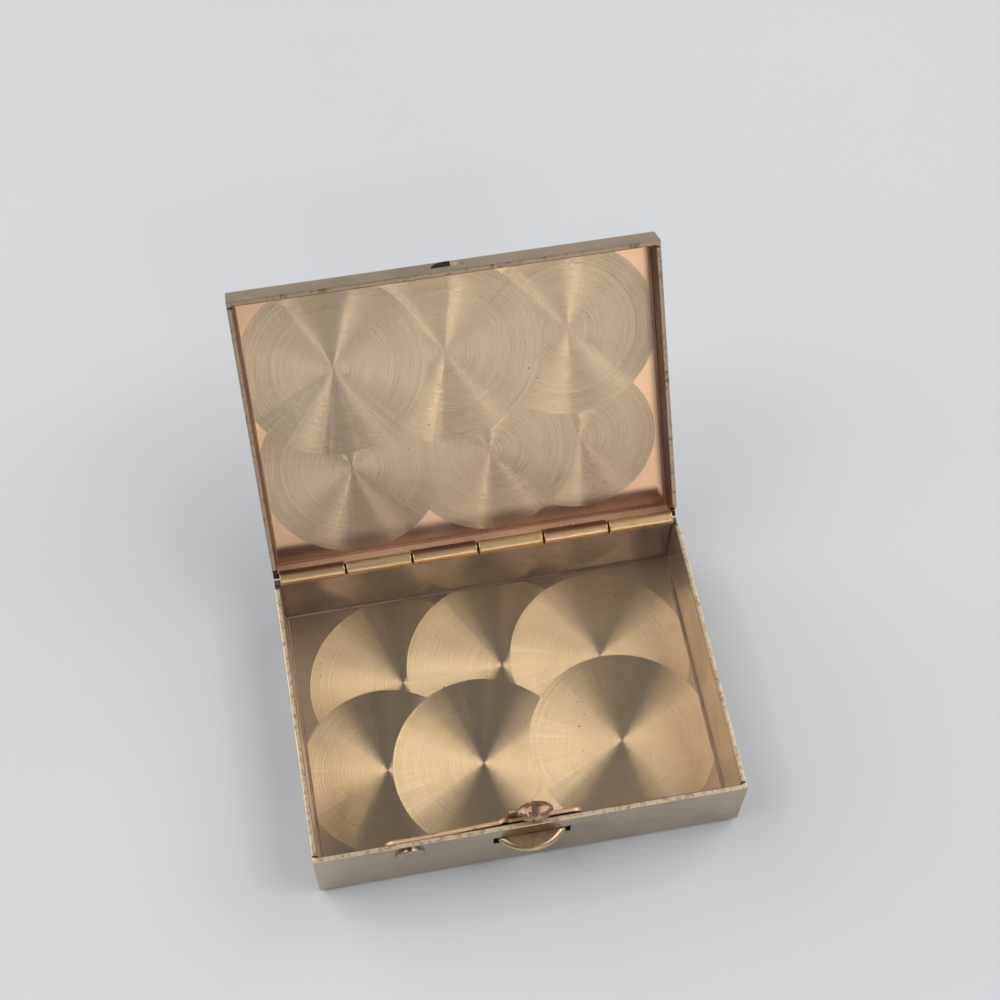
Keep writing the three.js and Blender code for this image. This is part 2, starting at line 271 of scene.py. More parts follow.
def folded_sheet(height):
    """A pan of one sheet with its underside at height 0."""
    outer = pan_loops(WIDTH / 2, DEPTH / 2, FOLD_OUTSIDE, 0, height, 1)
    inner = pan_loops(WIDTH / 2 - SHEET, DEPTH / 2 - SHEET, FOLD_INSIDE, SHEET, height, -1)
    kinds = [OUTSIDE] * (FOLD_STEPS + 2) + [EDGE] * (RIM_STEPS + 1) + [LINE] * RIM_STEPS
    kinds += [WALL] + [FOLD] * FOLD_STEPS + [FLOOR]
    return skin(outer + inner[::-1], kinds)


def add_block(bm, low, high):
    """A block between two opposite corners."""
    low, high = Vector(low), Vector(high)
    place = Matrix.Translation((low + high) / 2) @ Matrix.Diagonal(high - low).to_4x4()
    bmesh.ops.create_cube(bm, size=1, matrix=place)


def add_bar(bm, radius, start, end, sides=64):
    """A round bar between two points."""
    start, end = Vector(start), Vector(end)
    turn = (end - start).to_track_quat("Z", "Y").to_matrix().to_4x4()
    bmesh.ops.create_cone(bm, cap_ends=True, segments=sides, radius1=radius, radius2=radius,
                          depth=(end - start).length, matrix=Matrix.Translation((start + end) / 2) @ turn)


def corner_cutters(height, hinge_side):
    """Cutters for the open seams between a pan's walls, and for the side walls' snipped ends by the hinge."""
    slits, snips = bmesh.new(), bmesh.new()
    seam = DEPTH / 2 - SHEET
    for x in (-1, 1):
        across = sorted((x * (WIDTH / 2 - SHEET - BEYOND), x * (WIDTH / 2 + BEYOND)))
        for y in (-1, 1):
            along = sorted((y * (seam - CORNER_SEAM), y * seam))
            add_block(slits, (across[0], along[0], SEAM_FOOT), (across[1], along[1], height + BEYOND))
        along = sorted(hinge_side * (seam - far) for far in (CORNER_SEAM / 2, CORNER_SEAM + SNIP_BACK))
        add_block(snips, (across[0], along[0], height - SNIP_DEEP), (across[1], along[1], height + BEYOND))
    return [slits, snips]


def barrel_cutters(own):
    """Cutters for a sheet's back edge: a seat for its own knuckles, and room between them for the other's."""
    seat, between = bmesh.new(), bmesh.new()
    end = WIDTH / 2 + BEYOND
    stops = [-end, end]
    for low, high in own:
        stops += [low.x, high.x]
    stops.sort()
    add_bar(seat, BARREL_RADIUS + SOLDER_FILM, (-end, *hinge.yz), (end, *hinge.yz))
    for start, stop in zip(stops[::2], stops[1::2]):
        add_bar(between, BARREL_RADIUS + SWING_CLEARANCE, (start, *hinge.yz), (stop, *hinge.yz))
    return [seat, between]


def object_of(bm, name, materials):
    """A new object of a bmesh, which is freed."""
    mesh = bpy.data.meshes.new(name)
    bm.to_mesh(mesh)
    bm.free()
    for material in materials:
        mesh.materials.append(material)
    made = bpy.data.objects.new(name, mesh)
    scene.collection.objects.link(made)
    return made


def settle(made):
    """Turns an object's modifiers into its mesh."""
    shape = made.evaluated_get(bpy.context.evaluated_depsgraph_get())
    mesh = bpy.data.meshes.new_from_object(shape)
    made.modifiers.clear()
    made.data = mesh
    mesh.name = made.name


def carve(made, *cutters, kind=None, operation="DIFFERENCE"):
    """Cuts shapes out of an object, or joins them to it. Kind is the place of the new faces' material."""
    tools = []
    for bm in cutters:
        if kind is not None:
            for face in bm.faces:
                face.material_index = kind
        tools.append(object_of(bm, "tool", made.data.materials))
        cut = made.modifiers.new("cut", "BOOLEAN")
        cut.object = tools[-1]
        cut.operation = operation
        cut.solver = "EXACT"
    settle(made)
    for tool in tools:
        bpy.data.meshes.remove(tool.data)


def smooth(made):
    """Shades an object's curved faces smooth and keeps its flat faces flat and its corners crisp."""
    bm = bmesh.new()
    bm.from_mesh(made.data)
    bmesh.ops.remove_doubles(bm, verts=bm.verts, dist=SAME_POINT)
    bm.to_mesh(made.data)
    bm.free()
    made.data.shade_smooth()
    made.data.set_sharp_from_angle(angle=math.radians(CRISP_ANGLE))
    weigh = made.modifiers.new("weigh", "WEIGHTED_NORMAL")
    weigh.weight = 100
    weigh.keep_sharp = True
    settle(made)


def hand_in(made, body, slot, *nodes):
    """Puts a finished piece on its body, in place of the nodes that it stands for."""
    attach(made, body)
    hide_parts(*nodes)


# The part of a grain's noise over which the gloss goes from its least to its most. No grain is drawn finer
# than 0.12 mm, because a real one of a few hundredths would be too fine to show.
GRAIN_SPREAD = (0.3, 0.7)


def worked_metal(name, bright, dull, patch_mm, patches, grain_mm, gloss, relief_mm, haze=0.0, stain=None):
    """Metal with dull patches, a fine grain in its gloss and surface, and a share of matt haze.

    Colours are sRGB hex codes. A stain shows as far as the mesh's attribute of that name says."""
    made, tree, place = matter(name)
    patch = add(tree, "ShaderNodeTexNoise",
                {"Vector": place, "Scale": 1 / (patch_mm * MM), "Detail": 6, "Roughness": 0.65})
    dulled = add(tree, "ShaderNodeMapRange", [patch, *patches], interpolation_type="SMOOTHSTEP")
    tone = add(tree, "ShaderNodeMix",
               {"Factor_Float": dulled, "A_Color": linear(bright), "B_Color": linear(dull)},
               data_type="RGBA")
    if stain:
        stained = add(tree, "ShaderNodeAttribute", attribute_name="stain").outputs["Fac"]
        tone = add(tree, "ShaderNodeMix",
                   {"Factor_Float": stained, "A_Color": tone, "B_Color": linear(stain)}, data_type="RGBA")
    grain = add(tree, "ShaderNodeTexNoise",
                {"Vector": place, "Scale": 1 / (grain_mm * MM), "Detail": 3, "Roughness": 0.6})
    rub = add(tree, "ShaderNodeMapRange", [grain, *GRAIN_SPREAD, *gloss])
    bump = add(tree, "ShaderNodeBump", {"Height": grain, "Strength": 0.5, "Distance": relief_mm * MM})
    metal = add(tree, "ShaderNodeBsdfPrincipled",
                {"Base Color": tone, "Metallic": 1 - haze, "Roughness": rub, "Normal": bump})
    add(tree, "ShaderNodeOutputMaterial", [metal])
    return made


# Satin brass: rolled sheet rubbed with fine abrasive, so it blurs what it mirrors, with a few dull spots.
satin_brass = worked_metal("satin_brass", "#bdab94", "#a3927e", patch_mm=9, patches=(0.42, 0.72),
                           grain_mm=0.12, gloss=(0.18, 0.28), relief_mm=0.003)
# Worn brass: the rims, rubbed rough and bright, golden with duller patches.
worn_brass = worked_metal("worn_brass", "#eed9b9", "#b69f81", patch_mm=0.6, patches=(0.45, 0.66),
                          grain_mm=0.25, gloss=(0.36, 0.5), relief_mm=0.008)
# Bare brass: the inside of the walls, still bright from the rolls but greyed by a film of dust, so it mirrors
# the floor dimly.
bare_brass = worked_metal("bare_brass", "#cdbdb0", "#b3a498", patch_mm=5, patches=(0.45, 0.7),
                          grain_mm=0.6, gloss=(0.2, 0.27), relief_mm=0.001, haze=0.25)
# Tarnished brass: the folds, which no polish reaches, brown with old snuff.
tarnished_brass = worked_metal("tarnished_brass", "#a38e7c", "#877261", patch_mm=4, patches=(0.35, 0.7),
                               grain_mm=0.4, gloss=(0.3, 0.4), relief_mm=0.002, haze=0.3)
# Shade-painted brass: nearly black, painted shade for cut faces in slots and holes, for the pin and the
# push's tang.
grimed_brass = worked_metal("grimed_brass", "#54483a", "#2c261f", patch_mm=0.6, patches=(0.3, 0.7),
                            grain_mm=0.15, gloss=(0.5, 0.7), relief_mm=0.01, haze=0.4)

# Turned brass: the plain sheet, and on it discs of fine rings, each ring a groove that throws light along the
# disc's radius. A later disc cuts away the one below it. Pale painted glints lie along the pad's chatter
# marks in the outer rings on the left of each disc. A film of dust, thicker on the tray's right side, thin
# brown tarnish and a few dark pits dull the metal, and a painted reflection of the dark tray browns the lid
# by the hinge.
SPUN_TRAY = linear("#e7c998")
PLAIN_TRAY = linear("#d4b795")
CENTRE_DOT = linear("#dcb390")
CENTRE_DOT_MM = 0.3
# The rings are drawn a little coarser than real ones, which are too fine to show
RING_MM = 0.06
RING_TILT = 0.8
BAND_MM = 0.5
TRAY_BAND_TILT = 0.02
# The pad's chatter: marks in a radian, how far they turn a ring, and the levels from which one gets a painted
# glint
CHATTER_PER_RADIAN = 40
CHATTER_TILT = 0.05
CHATTER_GLINT = (0.5, 0.64)
PAINTED_GLINT = linear("#fff2d4")
TRAY_GLINTS = 0.22
GLINTS_FROM_MM = (4, 8)
# Painted glints show on the left of a disc, from the first to the second of these shares of its radius
GLINTS_SIDE = (-0.5, -0.8)
# What sets the noise of one disc apart from the next
DISC_SEED = 7.3
SPUN_ROUGH = 0.3
PLAIN_ROUGH = 0.2
HAZE = 0.06
TRAY_RIGHT_HAZE = 0.2
HAZE_FROM_MM = (4, 14)
DUST = 0.15
DUST_TINT = linear("#dfe8f5")
# Where the painted reflection of the dark tray starts and is full, towards the hinge
HINGE_SHADE_FROM_MM = (-4, 13)
# Brown tarnish, also the colour of the painted reflection beside the lid's hinge
TARNISH_AND_SHADE = linear("#8a6f5c")
PIT_TONE = linear("#4a3a2e")
# Size in millimetres, noise levels of clean and soiled metal, and strength of each kind of soil
SOIL = {"tarnish": (9, 0.45, 0.75, 0.12), "pits": (0.45, 0.7, 0.73, 1), "cluster": (7, 0.5, 0.6, 1)}
# Middle and radius of each disc, in the order in which they were cut
TRAY_DISCS_MM = [
    (-11.41, 6.07, 11.4), (1.04, 6.29, 11.8), (13.29, 5.47, 11.2),
    (-14.95, -4.80, 10.4), (-3.42, -5.97, 11.0), (13.61, -6.03, 11.3),
]


def turned_brass(name, discs, turned, plain, band_tilt, glints, dulled, right_haze, turn, shift_mm):
    """The flat inside of a sheet. Turn and shift lay it level, in millimetres, as it was when it was cut.

    Glints is how much the pale painted glints show, dulled how far the painted reflection of the dark tray
    browns the lid beside the hinge, and right_haze how matt the metal is on its right side."""
    made, tree, place = matter(name)
    flat = add(tree, "ShaderNodeMapping",
               {"Vector": place, "Location": shift_mm, "Rotation": (turn, 0, 0), "Scale": (1 / MM,) * 3})
    plan = add(tree, "ShaderNodeVectorMath", [flat, (1, 1, 0)], operation="MULTIPLY")
    centre, spun, seed = (0, 0, 0), 0.0, 0.0
    for number, (x, y, size) in enumerate(discs):
        away = add(tree, "ShaderNodeVectorMath", [plan, (x, y, 0)], operation="DISTANCE")
        within = add(tree, "ShaderNodeMath", [away, size], operation="LESS_THAN")
        centre = add(tree, "ShaderNodeMix",
                     {"Factor_Float": within, "A_Vector": centre, "B_Vector": (x, y, 0)}, data_type="VECTOR")
        seed = add(tree, "ShaderNodeMix",
                   {"Factor_Float": within, "A_Float": seed, "B_Float": DISC_SEED * number})
        spun = add(tree, "ShaderNodeMath", [spun, within], operation="MAXIMUM")

    # Along the radius, and across it, in the world
    reach = add(tree, "ShaderNodeVectorMath", [plan, centre], operation="SUBTRACT")
    radius = add(tree, "ShaderNodeVectorMath", [reach], operation="LENGTH")
    outward = add(tree, "ShaderNodeVectorMath", [reach], operation="NORMALIZE")
    laid = add(tree, "ShaderNodeVectorRotate", {"Vector": outward, "Angle": -turn}, rotation_type="X_AXIS")
    ray = add(tree, "ShaderNodeVectorTransform", [laid], vector_type="VECTOR",
              convert_from="OBJECT", convert_to="WORLD")
    normal = add(tree, "ShaderNodeNewGeometry").outputs["Normal"]
    across = add(tree, "ShaderNodeVectorMath", [normal, ray], operation="CROSS_PRODUCT")

    # Each ring leans in or out, some in broader bands, and the pad's chatter turns it a little sideways
    lean = 0.0
    for step_mm, most in ((RING_MM, RING_TILT), (BAND_MM, band_tilt)):
        along = add(tree, "ShaderNodeMath", [radius, 1 / step_mm, seed], operation="MULTIPLY_ADD")
        rings = add(tree, "ShaderNodeTexNoise", {"W": along, "Scale": 1, "Detail": 2}, noise_dimensions="1D")
        slope = add(tree, "ShaderNodeMapRange", [rings, 0, 1, -most, most])
        lean = add(tree, "ShaderNodeMath", [lean, slope], operation="ADD")
    round_disc = add(tree, "ShaderNodeVectorMath", {"Vector": outward, "Scale": CHATTER_PER_RADIAN},
                     operation="SCALE")
    chatter = add(tree, "ShaderNodeTexNoise", {"Vector": round_disc, "W": seed, "Scale": 1, "Detail": 2},
                  noise_dimensions="4D")
    sway = add(tree, "ShaderNodeMapRange", [chatter, 0, 1, -CHATTER_TILT, CHATTER_TILT])
    leaning = add(tree, "ShaderNodeMath", [lean, spun], operation="MULTIPLY")
    swaying = add(tree, "ShaderNodeMath", [sway, spun], operation="MULTIPLY")
    leant = add(tree, "ShaderNodeVectorMath", {"Vector": ray, "Scale": leaning}, operation="SCALE")
    swayed = add(tree, "ShaderNodeVectorMath", {"Vector": across, "Scale": swaying}, operation="SCALE")
    tilt = add(tree, "ShaderNodeVectorMath", [leant, swayed], operation="ADD")
    groove = add(tree, "ShaderNodeVectorMath", [normal, tilt], operation="ADD")
    facing = add(tree, "ShaderNodeVectorMath", [groove], operation="NORMALIZE")

    # Colour and gloss
    dot = add(tree, "ShaderNodeMath", [radius, CENTRE_DOT_MM], operation="LESS_THAN")
    glint_mark = add(tree, "ShaderNodeMapRange", [chatter, *CHATTER_GLINT, 0, glints],
                  interpolation_type="SMOOTHSTEP")
    outer = add(tree, "ShaderNodeMapRange", [radius, *GLINTS_FROM_MM], interpolation_type="SMOOTHSTEP")
    sideways = add(tree, "ShaderNodeSeparateXYZ", [outward]).outputs["X"]
    left = add(tree, "ShaderNodeMapRange", [sideways, *GLINTS_SIDE], interpolation_type="SMOOTHSTEP")
    spot = add(tree, "ShaderNodeSeparateXYZ", [plan]).outputs
    # Painted reflection: the lid is coloured browner towards the hinge, where it mirrors the dark tray
    dull = add(tree, "ShaderNodeMapRange", [spot["Y"], *HINGE_SHADE_FROM_MM, 0, dulled],
               interpolation_type="SMOOTHSTEP")
    clean = add(tree, "ShaderNodeMapRange", [spot["X"], *HAZE_FROM_MM, 1 - HAZE, 1 - right_haze],
                interpolation_type="SMOOTHSTEP")
    soil = {}
    for kind, (size_mm, low, high, most) in SOIL.items():
        cloud = add(tree, "ShaderNodeTexNoise", {"Vector": plan, "Scale": 1 / size_mm, "Detail": 2})
        soil[kind] = add(tree, "ShaderNodeMapRange", [cloud, low, high, 0, most],
                         interpolation_type="SMOOTHSTEP")
    # Pale painted glints along the chatter marks, only in outer rings on the left of each disc
    glint_place = add(tree, "ShaderNodeMath", [outer, left], operation="MULTIPLY")
    glint = add(tree, "ShaderNodeMath", [glint_mark, glint_place], operation="MULTIPLY")
    pit = add(tree, "ShaderNodeMath", [soil["pits"], soil["cluster"]], operation="MULTIPLY")
    cut = turned
    for share, tint in ((glint, PAINTED_GLINT), (dot, CENTRE_DOT)):
        cut = add(tree, "ShaderNodeMix", {"Factor_Float": share, "A_Color": cut, "B_Color": tint},
                  data_type="RGBA")
    tone = plain
    for share, tint in ((spun, cut), (soil["tarnish"], TARNISH_AND_SHADE), (dull, TARNISH_AND_SHADE), (pit, PIT_TONE)):
        tone = add(tree, "ShaderNodeMix", {"Factor_Float": share, "A_Color": tone, "B_Color": tint},
                   data_type="RGBA")
    gloss = add(tree, "ShaderNodeMix", {"Factor_Float": spun, "A_Float": PLAIN_ROUGH, "B_Float": SPUN_ROUGH})
    metal = add(tree, "ShaderNodeBsdfPrincipled",
                {"Base Color": tone, "Metallic": clean, "Roughness": gloss, "Normal": facing,
                 "Anisotropic": 1, "Tangent": ray,
                 "Sheen Weight": DUST, "Sheen Roughness": 1, "Sheen Tint": DUST_TINT})
    add(tree, "ShaderNodeOutputMaterial", [metal])
    return made


tray_floor = turned_brass("turned_brass_tray", TRAY_DISCS_MM, SPUN_TRAY, PLAIN_TRAY, TRAY_BAND_TILT,
                          glints=TRAY_GLINTS, dulled=0, right_haze=TRAY_RIGHT_HAZE,
                          turn=0, shift_mm=(0, 0, 0))
tray = object_of(folded_sheet(TRAY_HEIGHT), "tray",
                 [satin_brass, tray_floor, tarnished_brass, bare_brass, worn_brass, grimed_brass,
                  tarnished_brass])
openings = bmesh.new()
slot_half = PUSH_WIDTH / 2 + SLOT_SIDE
slot_rise = PUSH_THICKNESS / 2 + SLOT_ABOVE
add_block(openings, (PUSH_X - slot_half, FRONT - BEYOND, PUSH_Z - slot_rise),
          (PUSH_X + slot_half, FRONT_INSIDE + BEYOND, PUSH_Z + slot_rise))
add_bar(openings, SHANK_RADIUS + SOLDER_FILM, (rivet.x, FRONT - BEYOND, rivet.z),
        (rivet.x, FRONT_INSIDE + BEYOND, rivet.z))
carve(tray, *corner_cutters(TRAY_HEIGHT, 1), *barrel_cutters(tray_spans), kind=FOLD)
# The faces of the slot and the rivet hole get the nearly black painted shade
carve(tray, openings, kind=CUT)
smooth(tray)
hand_in(tray, "tray", "sheet_brass", "tray_shell")


# The lid
# A second folded sheet, shallower, with a half-moon window in its front wall that the catch snaps into. It is
# made shut and then turned back on the hinge. Its inside is engine-turned like the tray's floor.
LID_HEIGHT = 4.1 * MM
WINDOW_X = 0.4 * MM
WINDOW_RADIUS = 1.9 * MM
WINDOW_SILL = 1.5 * MM
WINDOW_STEPS = 24
# The window's edge has a painted highlight to the right of this share of its radius, and painted shade to its
# left
WINDOW_BRIGHT = 0.2
SPUN_LID = linear("#d3bc9a")
PLAIN_LID = linear("#cba886")
LID_BAND_TILT = 0.08
# How strongly the painted reflection of the dark tray browns the lid by the hinge
LID_HINGE_SHADE = 0.27
# Lid brass with painted shade: the lid's outside, the tray's satin brass coloured browner and darker as a
# painted reflection of the shaded table.
rubbed_brass = worked_metal("rubbed_brass", "#a98f71", "#937b5f", patch_mm=9, patches=(0.42, 0.72),
                            grain_mm=0.12, gloss=(0.18, 0.28), relief_mm=0.003)
# Handled brass: the lid's rims, dirtier than the tray's.
handled_brass = worked_metal("handled_brass", "#b5a088", "#6f5d4b", patch_mm=0.9, patches=(0.5, 0.72),
                             grain_mm=0.25, gloss=(0.36, 0.5), relief_mm=0.008)
# Painted highlight edge: the right part of the window's cut edge, coloured pale gold as a painted highlight.
rubbed_edge = worked_metal("rubbed_edge", "#f6e3ae", "#d9c189", patch_mm=1, patches=(0.5, 0.8),
                           grain_mm=0.2, gloss=(0.3, 0.4), relief_mm=0.001)
# Coppery brass: the lid's inner back wall and folds, where the gold tone has worn thin and the red metal
# shows. The folds are darker and duller.
coppery_brass = worked_metal("coppery_brass", "#f2c9a8", "#e2b898", patch_mm=6, patches=(0.4, 0.75),
                             grain_mm=1.5, gloss=(0.24, 0.28), relief_mm=0.0003, haze=0.6)
folded_copper = worked_metal("coppery_brass_fold", "#b28a70", "#9c775f", patch_mm=6, patches=(0.4, 0.75),
                             grain_mm=1.5, gloss=(0.4, 0.5), relief_mm=0.0003, haze=0.2)
# Brown brass: the lid's inner side walls and the inner edge of its rim, dark with tarnish.
brown_brass = worked_metal("brown_brass", "#8c6c5c", "#735849", patch_mm=3, patches=(0.4, 0.75),
                           grain_mm=0.5, gloss=(0.28, 0.36), relief_mm=0.001, haze=0.3)
LID_DISCS_MM = [
    (14.3, 6.7, 9.3), (3.2, 6.51, 10.6), (-13.63, 6.03, 11.2),
    (13.93, -7.48, 10.8), (-0.86, -7.01, 11.5), (-14.12, -7.09, 11.2),
]

lid_rim = 2 * hinge.z - TRAY_HEIGHT
lid_top = lid_rim + LID_HEIGHT
lid_angle = math.radians(joints["lid_hinge"]["range_deg"][1])
upside_down = Matrix.Translation((0, 0, lid_top)) @ Matrix.Rotation(math.pi, 4, "X")
about_hinge = Matrix.Translation(hinge)
swing_open = about_hinge @ Matrix.Rotation(-lid_angle, 4, "X") @ about_hinge.inverted()
lid_floor = turned_brass("turned_brass_lid", LID_DISCS_MM, SPUN_LID, PLAIN_LID, LID_BAND_TILT,
                         glints=0, dulled=LID_HINGE_SHADE, right_haze=HAZE,
                         turn=lid_angle, shift_mm=swing_open.inverted().to_translation() / MM)
lid_sheet = folded_sheet(LID_HEIGHT)
# The side walls are browner inside than the other two
for face in lid_sheet.faces:
    if face.material_index == WALL and abs(face.normal.x) > 0.5:
        face.material_index = LINE
lid_corners = corner_cutters(LID_HEIGHT, -1)
for bm in (lid_sheet, *lid_corners):
    bmesh.ops.transform(bm, matrix=upside_down, verts=bm.verts)
lid = object_of(lid_sheet, "lid",
                [rubbed_brass, lid_floor, folded_copper, coppery_brass, handled_brass, grimed_brass,
                 brown_brass, rubbed_edge])
sill = lid_rim + WINDOW_SILL
arch = [math.pi * step / WINDOW_STEPS for step in range(WINDOW_STEPS + 1)]
window = skin([[(WINDOW_X + WINDOW_RADIUS * math.cos(a), y, sill + WINDOW_RADIUS * math.sin(a)) for a in arch]
               for y in (FRONT - BEYOND, FRONT_INSIDE + BEYOND)])
# The window's cut edge is painted: a highlight on its right part, nearly black shade on the rest
for face in window.faces:
    bright = face.calc_center_median().x > WINDOW_X + WINDOW_BRIGHT * WINDOW_RADIUS
    face.material_index = PAINTED_LIT if bright else CUT
carve(lid, window)
carve(lid, *lid_corners, kind=FOLD)
# The faces of the cut round the barrel get the nearly black painted shade
carve(lid, *barrel_cutters(lid_spans), kind=CUT)
smooth(lid)
lid.data.transform(swing_open)
hand_in(lid, "lid", "sheet_brass", "lid_shell")


# The hinge knuckles
# Short brass tubes with rounded ends, three soldered to each sheet's back edge, in turn along one barrel. The
# solder runs out in a hollow fillet from each tube to the inside of its own sheet.
PIN_RADIUS = 0.45 * MM
KNUCKLE_ROUND = 0.1 * MM
TRAY_FILLET = 1.0 * MM
LID_FILLET = 2.2 * MM
# Where the solder's stain starts and is full, as a height about the hinge in barrel radii, towards the sheet
TRAY_STAIN = (0.3, 0.8)
LID_STAIN = (-0.85, -0.4)
FILLET_STEPS = 12
BARREL_STEPS = 60
# How far the inside of the back wall lies behind the hinge
wall = DEPTH / 2 - SHEET - hinge.y

# Drawn brass: golden and smooth from the die. The lid's tubes are coppery and stained red-brown by the
# solder, the tray's are rubbed dull.
coppery_tube = worked_metal("drawn_brass_lid", "#fbd3a2", "#e0b688", patch_mm=0.7, patches=(0.5, 0.8),
                            grain_mm=0.2, gloss=(0.3, 0.38), relief_mm=0.003, haze=0.04, stain="#9a6f55")
dull_tube = worked_metal("drawn_brass_tray", "#f2cf9c", "#c8a476", patch_mm=0.7, patches=(0.5, 0.8),
                         grain_mm=0.15, gloss=(0.3, 0.4), relief_mm=0.004, haze=0.04, stain="#7d6a4e")


def knuckle_outline(side, fillet):
    """The tube and its fillet across the barrel, about the hinge. Side is 1 for a sheet above, -1 below."""
    rise = math.sqrt((BARREL_RADIUS + fillet) ** 2 - (wall - fillet) ** 2)
    meet = math.atan2(rise, fillet - wall)
    start = math.pi - meet
    stop = 2 * math.pi + math.acos(wall / BARREL_RADIUS)
    outline = [(wall + SOLDER_FILM, rise)]
    for step in range(FILLET_STEPS + 1):
        a = -meet * step / FILLET_STEPS
        outline.append((wall - fillet + fillet * math.cos(a), rise + fillet * math.sin(a)))
    for step in range(1, BARREL_STEPS + 1):
        a = start + (stop - start) * step / BARREL_STEPS
        outline.append((BARREL_RADIUS * math.cos(a), BARREL_RADIUS * math.sin(a)))
    return [(y, side * z) for y, z in outline]


row = bpy.data.node_groups.new("row_of_knuckles", "GeometryNodeTree")
for label, kind in (("Geometry", "Geometry"), ("Knuckle", "Object"), ("Count", "Int"), ("First", "Vector"),
                    ("Pitch", "Vector"), ("Metal", "Material")):
    row.interface.new_socket(label, in_out="INPUT", socket_type="NodeSocket" + kind)
row.interface.new_socket("Geometry", in_out="OUTPUT", socket_type="NodeSocketGeometry")
given = add(row, "NodeGroupInput").outputs
spots = add(row, "GeometryNodeMeshLine",
            {"Count": given["Count"], "Start Location": given["First"], "Offset": given["Pitch"]})
shape = add(row, "GeometryNodeObjectInfo", {"Object": given["Knuckle"]}).outputs["Geometry"]
placed = add(row, "GeometryNodeInstanceOnPoints", {"Points": spots, "Instance": shape})
solid = add(row, "GeometryNodeRealizeInstances", [placed])
finished = add(row, "GeometryNodeSetMaterial", {"Geometry": solid, "Material": given["Metal"]})
add(row, "NodeGroupOutput", [finished])


def knuckle_row(name, side, spans, fillet, stain, metal):
    """All the knuckles of one sheet, as they lie with the box shut."""
    length = spans[0][1].x - spans[0][0].x
    outline = knuckle_outline(side, fillet)
    rows = [(-length / 2, PIN_RADIUS + SOLDER_FILM, 0)]
    for end in (-1, 1):
        for angle in quarter(RIM_STEPS)[::-end]:
            inset = KNUCKLE_ROUND * (1 - math.cos(angle))
            rows.append((end * (length / 2 - KNUCKLE_ROUND * (1 - math.sin(angle))), None, inset))
    rows.append((length / 2, PIN_RADIUS + SOLDER_FILM, 0))
    loops = []
    for x, radius, inset in rows:
        shares = [(radius or math.hypot(y, z) - inset) / math.hypot(y, z) for y, z in outline]
        loops.append([(x, y * share, z * share) for share, (y, z) in zip(shares, outline)])
    bm = skin(loops, hollow=True)
    stained = bm.verts.layers.float.new("stain")
    for vert in bm.verts:
        share = (side * vert.co.z / BARREL_RADIUS - stain[0]) / (stain[1] - stain[0])
        vert[stained] = max(0, min(1, share))
    knuckle = object_of(bm, "knuckle", [metal])
    smooth(knuckle)
    made = object_of(bmesh.new(), name, [metal])
    nodes = made.modifiers.new("row", "NODES")
    nodes.node_group = row
    wanted = {
        "Knuckle": knuckle,
        "Count": len(spans),
        "First": (spans[0][0].x + length / 2, hinge.y, hinge.z),
        "Pitch": (spans[1][0].x - spans[0][0].x, 0, 0),
        "Metal": metal,
    }
    for item in row.interface.items_tree:
        if item.in_out == "INPUT" and item.name in wanted:
            nodes[item.identifier] = wanted[item.name]
    settle(made)
    bpy.data.meshes.remove(knuckle.data)
    return made


tray_row = knuckle_row("tray_knuckles", -1, tray_spans, TRAY_FILLET, TRAY_STAIN, dull_tube)
hand_in(tray_row, "tray", "hinge_brass", *TRAY_KNUCKLES)
lid_row = knuckle_row("lid_knuckles", 1, lid_spans, LID_FILLET, LID_STAIN, coppery_tube)
lid_row.data.transform(swing_open)
hand_in(lid_row, "lid", "hinge_brass", *LID_KNUCKLES)


# The hinge pin
# A straight brass wire through all six knuckles, its ends rounded off flush with the barrel. It is coloured
# nearly black all over, a painted shade for the gaps between the knuckles where it shows.
PIN_ROUND = 0.15 * MM
PIN_SIDES = 24
pin_low, pin_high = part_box("hinge_pin")


def ring(middle, along, radius, sides=48):
    """A circle of points about a line along X or Y."""
    turns = [2 * math.pi * step / sides for step in range(sides)]
    side, up = Vector((0, 1, 0) if along == "X" else (1, 0, 0)), Vector((0, 0, 1))
    return [middle + radius * (math.cos(t) * side + math.sin(t) * up) for t in turns]


loops = []
for end in (pin_low.x, pin_high.x):
    inward = -PIN_ROUND if end > 0 else PIN_ROUND
    for angle in quarter(RIM_STEPS)[::1 if end < 0 else -1]:
        middle = Vector((end + inward * (1 - math.cos(angle)), *hinge.yz))
        loops.append(ring(middle, "X", PIN_RADIUS - PIN_ROUND * (1 - math.sin(angle)), PIN_SIDES))
pin = object_of(skin(loops), "pin", [grimed_brass])
smooth(pin)
hand_in(pin, "tray", "pin_wire", "hinge_pin")


# The rivet
# A brass rivet that holds the catch strip's left end: a flat head outside the front wall, a shank through
# wall and strip, and a spread tail inside.
HEAD_RADIUS = 1.7 * MM
HEAD_ROUND = 0.2 * MM
TAIL_RADIUS = 0.9 * MM
TAIL_HEIGHT = 0.35 * MM
# Share of the tail's radius that its hammered end leaves flat
TAIL_FLAT = 0.3
RIVET_STEPS = 6
rivet_low, rivet_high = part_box("spring_rivet")

